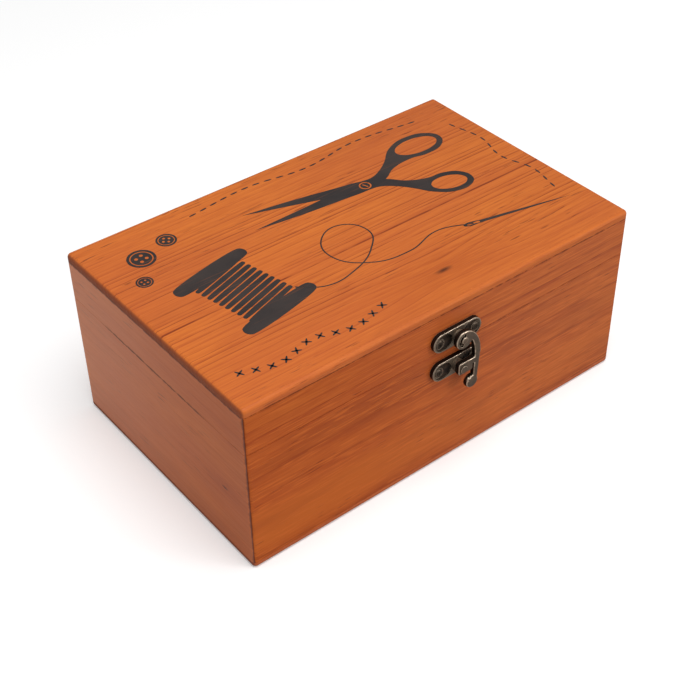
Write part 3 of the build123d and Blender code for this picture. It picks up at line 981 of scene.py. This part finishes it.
def makeSeatTree():
    # sets the item at every point, spun by chance about its own axis
    inputs = {
        "Geometry": "Geometry", "Item": "Object", "Facing": "Rotation", "Seed": "Int",
        "Material": "Material",
    }
    tree, given, result = newTree("setAtSeats", "GeometryNodeTree", inputs, ["Geometry"])
    chance = {2: 0.0, 3: math.pi / 2, "Seed": given["Seed"]}  # from 0 to a quarter turn
    spin = addNode(tree, "FunctionNodeRandomValue", chance, data_type="FLOAT").outputs[1]
    angles = addNode(tree, "ShaderNodeCombineXYZ", {2: spin}).outputs[0]
    spun = addNode(tree, "FunctionNodeEulerToRotation", {0: angles}).outputs[0]
    inputs = {"Rotation": given["Facing"], "Rotate By": spun}
    turned = addNode(tree, "FunctionNodeRotateRotation", inputs, rotation_space="LOCAL").outputs[0]
    points = addNode(tree, "GeometryNodeMeshToPoints", {"Mesh": given["Geometry"]}).outputs[0]
    return placeItems(tree, given, result, points, turned)


def makeRowTree():
    # lays the item along a path at an even spacing
    inputs = {"Geometry": "Geometry", "Item": "Object", "Spacing": 0.006, "Material": "Material"}
    tree, given, result = newTree("rowOnPath", "GeometryNodeTree", inputs, ["Geometry"])
    inputs = {"Curve": given["Geometry"], "Length": given["Spacing"]}
    points = addNode(tree, "GeometryNodeCurveToPoints", inputs, mode="LENGTH").outputs
    turned = addNode(
        tree, "FunctionNodeAlignRotationToVector", {"Vector": points["Tangent"]},
        axis="X", pivot_axis="Z",
    ).outputs[0]
    return placeItems(tree, given, result, points["Points"], turned)


def runTree(source, tree, name, **values):
    modifier = source.modifiers.new(tree.name, "NODES")
    modifier.node_group = tree
    for socket in tree.interface.items_tree:
        if socket.in_out == "INPUT" and socket.name in values:
            modifier[socket.identifier] = values[socket.name]
    return toMesh(source, name)


def solidBoxes(name):
    # the lowest and highest corner of each separate solid of a CAD node
    shape = weldedCopy(name)
    left = set(shape.verts)
    found = []
    while left:
        stack = [left.pop()]
        solid = []
        while stack:
            vert = stack.pop()
            solid.append(vert.co.copy())
            for edge in vert.link_edges:
                other = edge.other_vert(vert)
                if other in left:
                    left.remove(other)
                    stack.append(other)
        ends = (Vector([end(point[axis] for point in solid) for axis in range(3)]) for end in (min, max))
        found.append(tuple(ends))
    shape.free()
    return sorted(found, key=lambda pair: tuple(pair[0]))


def setScrews(name, body, outward, seed):
    seats = bpy.data.meshes.new("seats")
    places = []
    for low, high in solidBoxes(name):
        middle = (low + high) / 2
        headEnd = high.y if outward > 0 else low.y
        places.append((middle.x, headEnd - outward * screw["headHeight"], middle.z))
    seats.from_pydata(places, [], [])
    facing = (-math.pi / 2 * outward, 0.0, 0.0)
    mesh = runTree(
        addObject("seats", seats), seatTree, name, Item=screwShape, Facing=facing, Seed=seed,
        Material=bronzeScrew,
    )
    piece = addObject(name.replace("screws", "round_screws"), mesh)
    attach(piece, body)
    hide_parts(name)


seatTree = makeSeatTree()
rowTree = makeRowTree()
screwShape = makeScrew()
setScrews("hinge_base_screws", "base", 1, 5)
setScrews("hinge_lid_screws", "lid", 1, 8)
setScrews("hasp_lid_screws", "lid", -1, 12)
setScrews("hasp_base_screws", "base", -1, 15)
bpy.data.objects.remove(screwShape)
print("screws set")


# The print on the lid: shears, a spool, a needle and thread, buttons and rows of stitches.
# Places and sizes are in millimetres from the middle of the lid.

inkFilm = {
    "height": 0.04 * mm,
    "layerStep": 0.15,  # each layer is this share higher, so that no two share a height
    "outlineSteps": 10,
    "pathSteps": 16,
}


def turnAbout(x, y, middle, turn):
    cos, sin = math.cos(math.radians(turn)), math.sin(math.radians(turn))
    return middle[0] + x * cos - y * sin, middle[1] + x * sin + y * cos


def flatShape(name, loops, middle=(0, 0), turn=0.0, layer=0):
    # loops: closed outlines of (x, y, smooth); inner ones are holes
    data = bpy.data.curves.new(name, "CURVE")
    data.dimensions = "2D"
    data.fill_mode = "BOTH"
    height = inkFilm["height"] * (1 + inkFilm["layerStep"] * layer)
    data.extrude = height / 2
    data.resolution_u = inkFilm["outlineSteps"]
    for loop in loops:
        spline = data.splines.new("BEZIER")
        spline.bezier_points.add(len(loop) - 1)
        spline.use_cyclic_u = True
        for point, (x, y, smooth) in zip(spline.bezier_points, loop):
            x, y = turnAbout(x, y, middle, turn)
            point.co = (x * mm, y * mm, 0)
            point.handle_left_type = point.handle_right_type = "AUTO" if smooth else "VECTOR"
    mesh = toMesh(addObject(name, data), name)
    mesh.transform(Matrix.Translation((0, 0, boxHeight + height / 2)))
    return mesh


def ovalLoop(across, up, middle=(0, 0), count=12):
    turns = [math.tau * step / count for step in range(count)]
    return [(middle[0] + across * math.cos(turn), middle[1] + up * math.sin(turn), True) for turn in turns]


def pathCurve(name, points):
    data = bpy.data.curves.new(name, "CURVE")
    data.dimensions = "3D"
    data.resolution_u = inkFilm["pathSteps"]
    spline = data.splines.new("BEZIER")
    spline.bezier_points.add(len(points) - 1)
    for point, (x, y) in zip(spline.bezier_points, points):
        point.co = (x * mm, y * mm, 0)
        point.handle_left_type = point.handle_right_type = "AUTO"
    return data


shears = {
    "middle": (28, 25),
    "turn": 81.0,
    "open": 6.5,
    "tip": 61.0,
    "pivotHole": 3.0,
    "pivotDisc": 2.3,
    "slot": (1.7, 0.35),  # half length, half width
    "slotTurn": 30,
    "bows": ((9.2, 15.0, -41.0), (8.4, 12.0, -37.5)),  # half width, half height, middle
    "bowAside": 4.6,
    "bowThick": 3.0,
}


def shearsHalf(bow):
    # blade up from the pivot at 0, 0, handle down to the right
    wide, high, middle = bow
    across = wide + shears["bowAside"]
    outline = [
        (0.2, shears["tip"], False), (1.9, 34, True), (3.7, 9, False), (4.0, 0, True), (3.6, -6, True),
        (6.4, -13, True), (10.6, -19, True), (across + wide * 0.62, middle + high * 0.80, True),
        (across + wide, middle, True), (across + wide * 0.62, middle - high * 0.80, True),
        (across, middle - high, True), (across - wide * 0.72, middle - high * 0.72, True),
        (across - wide, middle, True), (across - wide * 0.86, middle + high * 0.62, True),
        (3.6, -19, True), (-0.6, -12.5, True), (-3.0, -6, True), (-4.0, 1, True), (-3.5, 14, True),
        (-2.0, 40, True),
    ]
    thick = shears["bowThick"]
    return [outline, ovalLoop(wide - thick, high - thick, (across, middle))]


def makeShears():
    hole = ovalLoop(shears["pivotHole"], shears["pivotHole"])
    meshes = []
    for layer, (side, bow) in enumerate(zip((1, -1), shears["bows"])):
        loops = [[(side * x, y, smooth) for x, y, smooth in loop] for loop in shearsHalf(bow)]
        turn = shears["turn"] + side * shears["open"]
        meshes.append(flatShape("shearsHalf", loops + [hole], shears["middle"], turn, layer))
    x, y = shears["slot"]
    slot = [(-x, -y, False), (x, -y, False), (x, y, False), (-x, y, False)]
    disc = ovalLoop(shears["pivotDisc"], shears["pivotDisc"])
    meshes.append(flatShape("pivot", [disc, slot], shears["middle"], shears["turn"] + shears["slotTurn"]))
    return meshes


spool = {
    "middle": (-62, -5),
    "turn": 12.0,
    "flangeWidth": 42.0,
    "flangeHeight": 6.2,
    "flangeGap": 0.9,
    "barrel": 16.0,  # half its height
    "windingSpacing": 3.2,
    "windingWidth": 29.0,
    "windingThick": 2.1,
    "windingSlant": 6.0,
    "windingInset": (1.0, 0.2),  # from the two ends of the barrel
}


def roundedBar(width, height, middle=(0, 0)):
    x, y = width / 2, height / 2
    cut = min(x, y) / 2
    corners = [
        (-x + cut, -y), (x - cut, -y), (x, -y + cut), (x, y - cut),
        (x - cut, y), (-x + cut, y), (-x, y - cut), (-x, -y + cut),
    ]
    return [(middle[0] + a, middle[1] + b, True) for a, b in corners]


def makeSpool():
    rise = spool["barrel"] + spool["flangeHeight"] / 2 + spool["flangeGap"]
    meshes = []
    for side in (-1, 1):
        flange = roundedBar(spool["flangeWidth"], spool["flangeHeight"], (0, side * rise))
        meshes.append(flatShape("flange", [flange], spool["middle"], spool["turn"]))
    loop = roundedBar(spool["windingWidth"], spool["windingThick"])
    bar = flatShape("winding", [loop], turn=spool["windingSlant"], layer=1)
    bar.transform(Matrix.Rotation(-math.pi / 2, 4, "Z"))  # the row turns each bar to its path
    item = addObject("winding", bar)
    data = bpy.data.curves.new("windingLine", "CURVE")
    data.dimensions = "3D"
    line = data.splines.new("POLY")
    line.points.add(1)
    angle = math.radians(spool["turn"])
    up = Vector((-math.sin(angle), math.cos(angle)))
    middle = Vector(spool["middle"])
    first, last = (spool["barrel"] - inset for inset in spool["windingInset"])
    for point, end in zip(line.points, (middle - up * first, middle + up * last)):
        point.co = (end.x * mm, end.y * mm, 0, 1)
    meshes.append(runTree(
        addObject("windingLine", data), rowTree, "windings", Item=item,
        Spacing=spool["windingSpacing"] * mm, Material=ink,
    ))
    bpy.data.objects.remove(item)
    return meshes


needle = {
    "middle": (68, -35),
    "turn": -13.0,
    "body": [
        (-27.5, 0, True), (-26.4, 1.05, True), (-18, 0.95, True), (10, 0.55, True), (29, 0.0, False),
        (10, -0.55, True), (-18, -0.95, True), (-26.4, -1.05, True),
    ],
    "eye": [(-25.8, 0, True), (-22.5, 0.5, True), (-19.2, 0, True), (-22.5, -0.5, True)],
}
thread = {
    "radius": 0.34 * mm,
    "flat": 0.12,
    "roundSteps": 2,
    "points": [
        (46.1, -30.0), (30, -24), (10, -28), (-8, -24), (-19, -10), (-14, 4), (-1, 7), (6, -4),
        (-2, -16), (-18, -24), (-33, -25), (-44.5, -17),
    ],
}


def makeNeedle():
    return flatShape("needle", [needle["body"], needle["eye"]], needle["middle"], needle["turn"])


def makeThread():
    data = pathCurve("thread", thread["points"])
    data.bevel_depth = thread["radius"]
    data.bevel_resolution = thread["roundSteps"]
    data.use_fill_caps = True
    mesh = toMesh(addObject("thread", data), "thread")
    lift = boxHeight + thread["radius"] * thread["flat"]
    mesh.transform(Matrix.Translation((0, 0, lift)) @ Matrix.Diagonal((1, 1, thread["flat"], 1)))
    return mesh


buttons = [
    {"middle": (-84, 42), "radius": 6.6, "turn": 20.0},
    {"middle": (-68, 47), "radius": 4.8, "turn": 55.0},
    {"middle": (-92, 26.5), "radius": 3.9, "turn": 5.0},
]
buttonShares = {"rimInside": 0.80, "face": 0.72, "holesApart": 0.25, "hole": 0.13}  # of the radius


def makeButton(button):
    radius, middle, turn = button["radius"], button["middle"], button["turn"]
    inside, wide, apart, small = (radius * share for share in buttonShares.values())
    rim = [ovalLoop(radius, radius), ovalLoop(inside, inside)]
    face = [ovalLoop(wide, wide)]
    for x, y in ((-apart, -apart), (apart, -apart), (apart, apart), (-apart, apart)):
        face.append(ovalLoop(small, small, (x, y), count=8))
    return [flatShape("buttonRim", rim, middle, turn), flatShape("buttonFace", face, middle, turn)]


stitchRows = [
    {"kind": "cross", "spacing": 6.4, "size": 4.6, "width": 0.95,
     "points": [(-95, -48), (-78, -53), (-60, -49), (-42, -54), (-24, -50)]},
    {"kind": "dash", "spacing": 6.2, "size": 4.0, "width": 0.95,
     "points": [(-48, 56), (-16, 59), (16, 55), (48, 59), (82, 55)]},
    {"kind": "dash", "spacing": 6.2, "size": 4.0, "width": 0.95,
     "points": [(96, 40), (99, 22), (95, 4), (99, -14), (96, -30)]},
]


def makeStitchRow(row):
    dash = ovalLoop(row["size"] / 2, row["width"] / 2)
    turns = (45, -45) if row["kind"] == "cross" else (0,)
    marks = [flatShape("stitch", [dash], turn=turn) for turn in turns]
    item = joinMeshes("stitch", marks, ink)
    path = addObject("stitchPath", pathCurve("stitchPath", row["points"]))
    mesh = runTree(path, rowTree, "stitches", Item=item, Spacing=row["spacing"] * mm, Material=ink)
    bpy.data.objects.remove(item)
    return mesh


def printPiece(name, meshes):
    piece = joinMeshes(name, meshes, ink)
    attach(piece, "lid")


printPiece("print_shears", makeShears())
printPiece("print_spool", makeSpool())
printPiece("print_needle", [makeNeedle(), makeThread()])
printPiece("print_buttons", [mesh for button in buttons for mesh in makeButton(button)])
printPiece("print_stitches", [makeStitchRow(row) for row in stitchRows])
print("print laid on the lid")
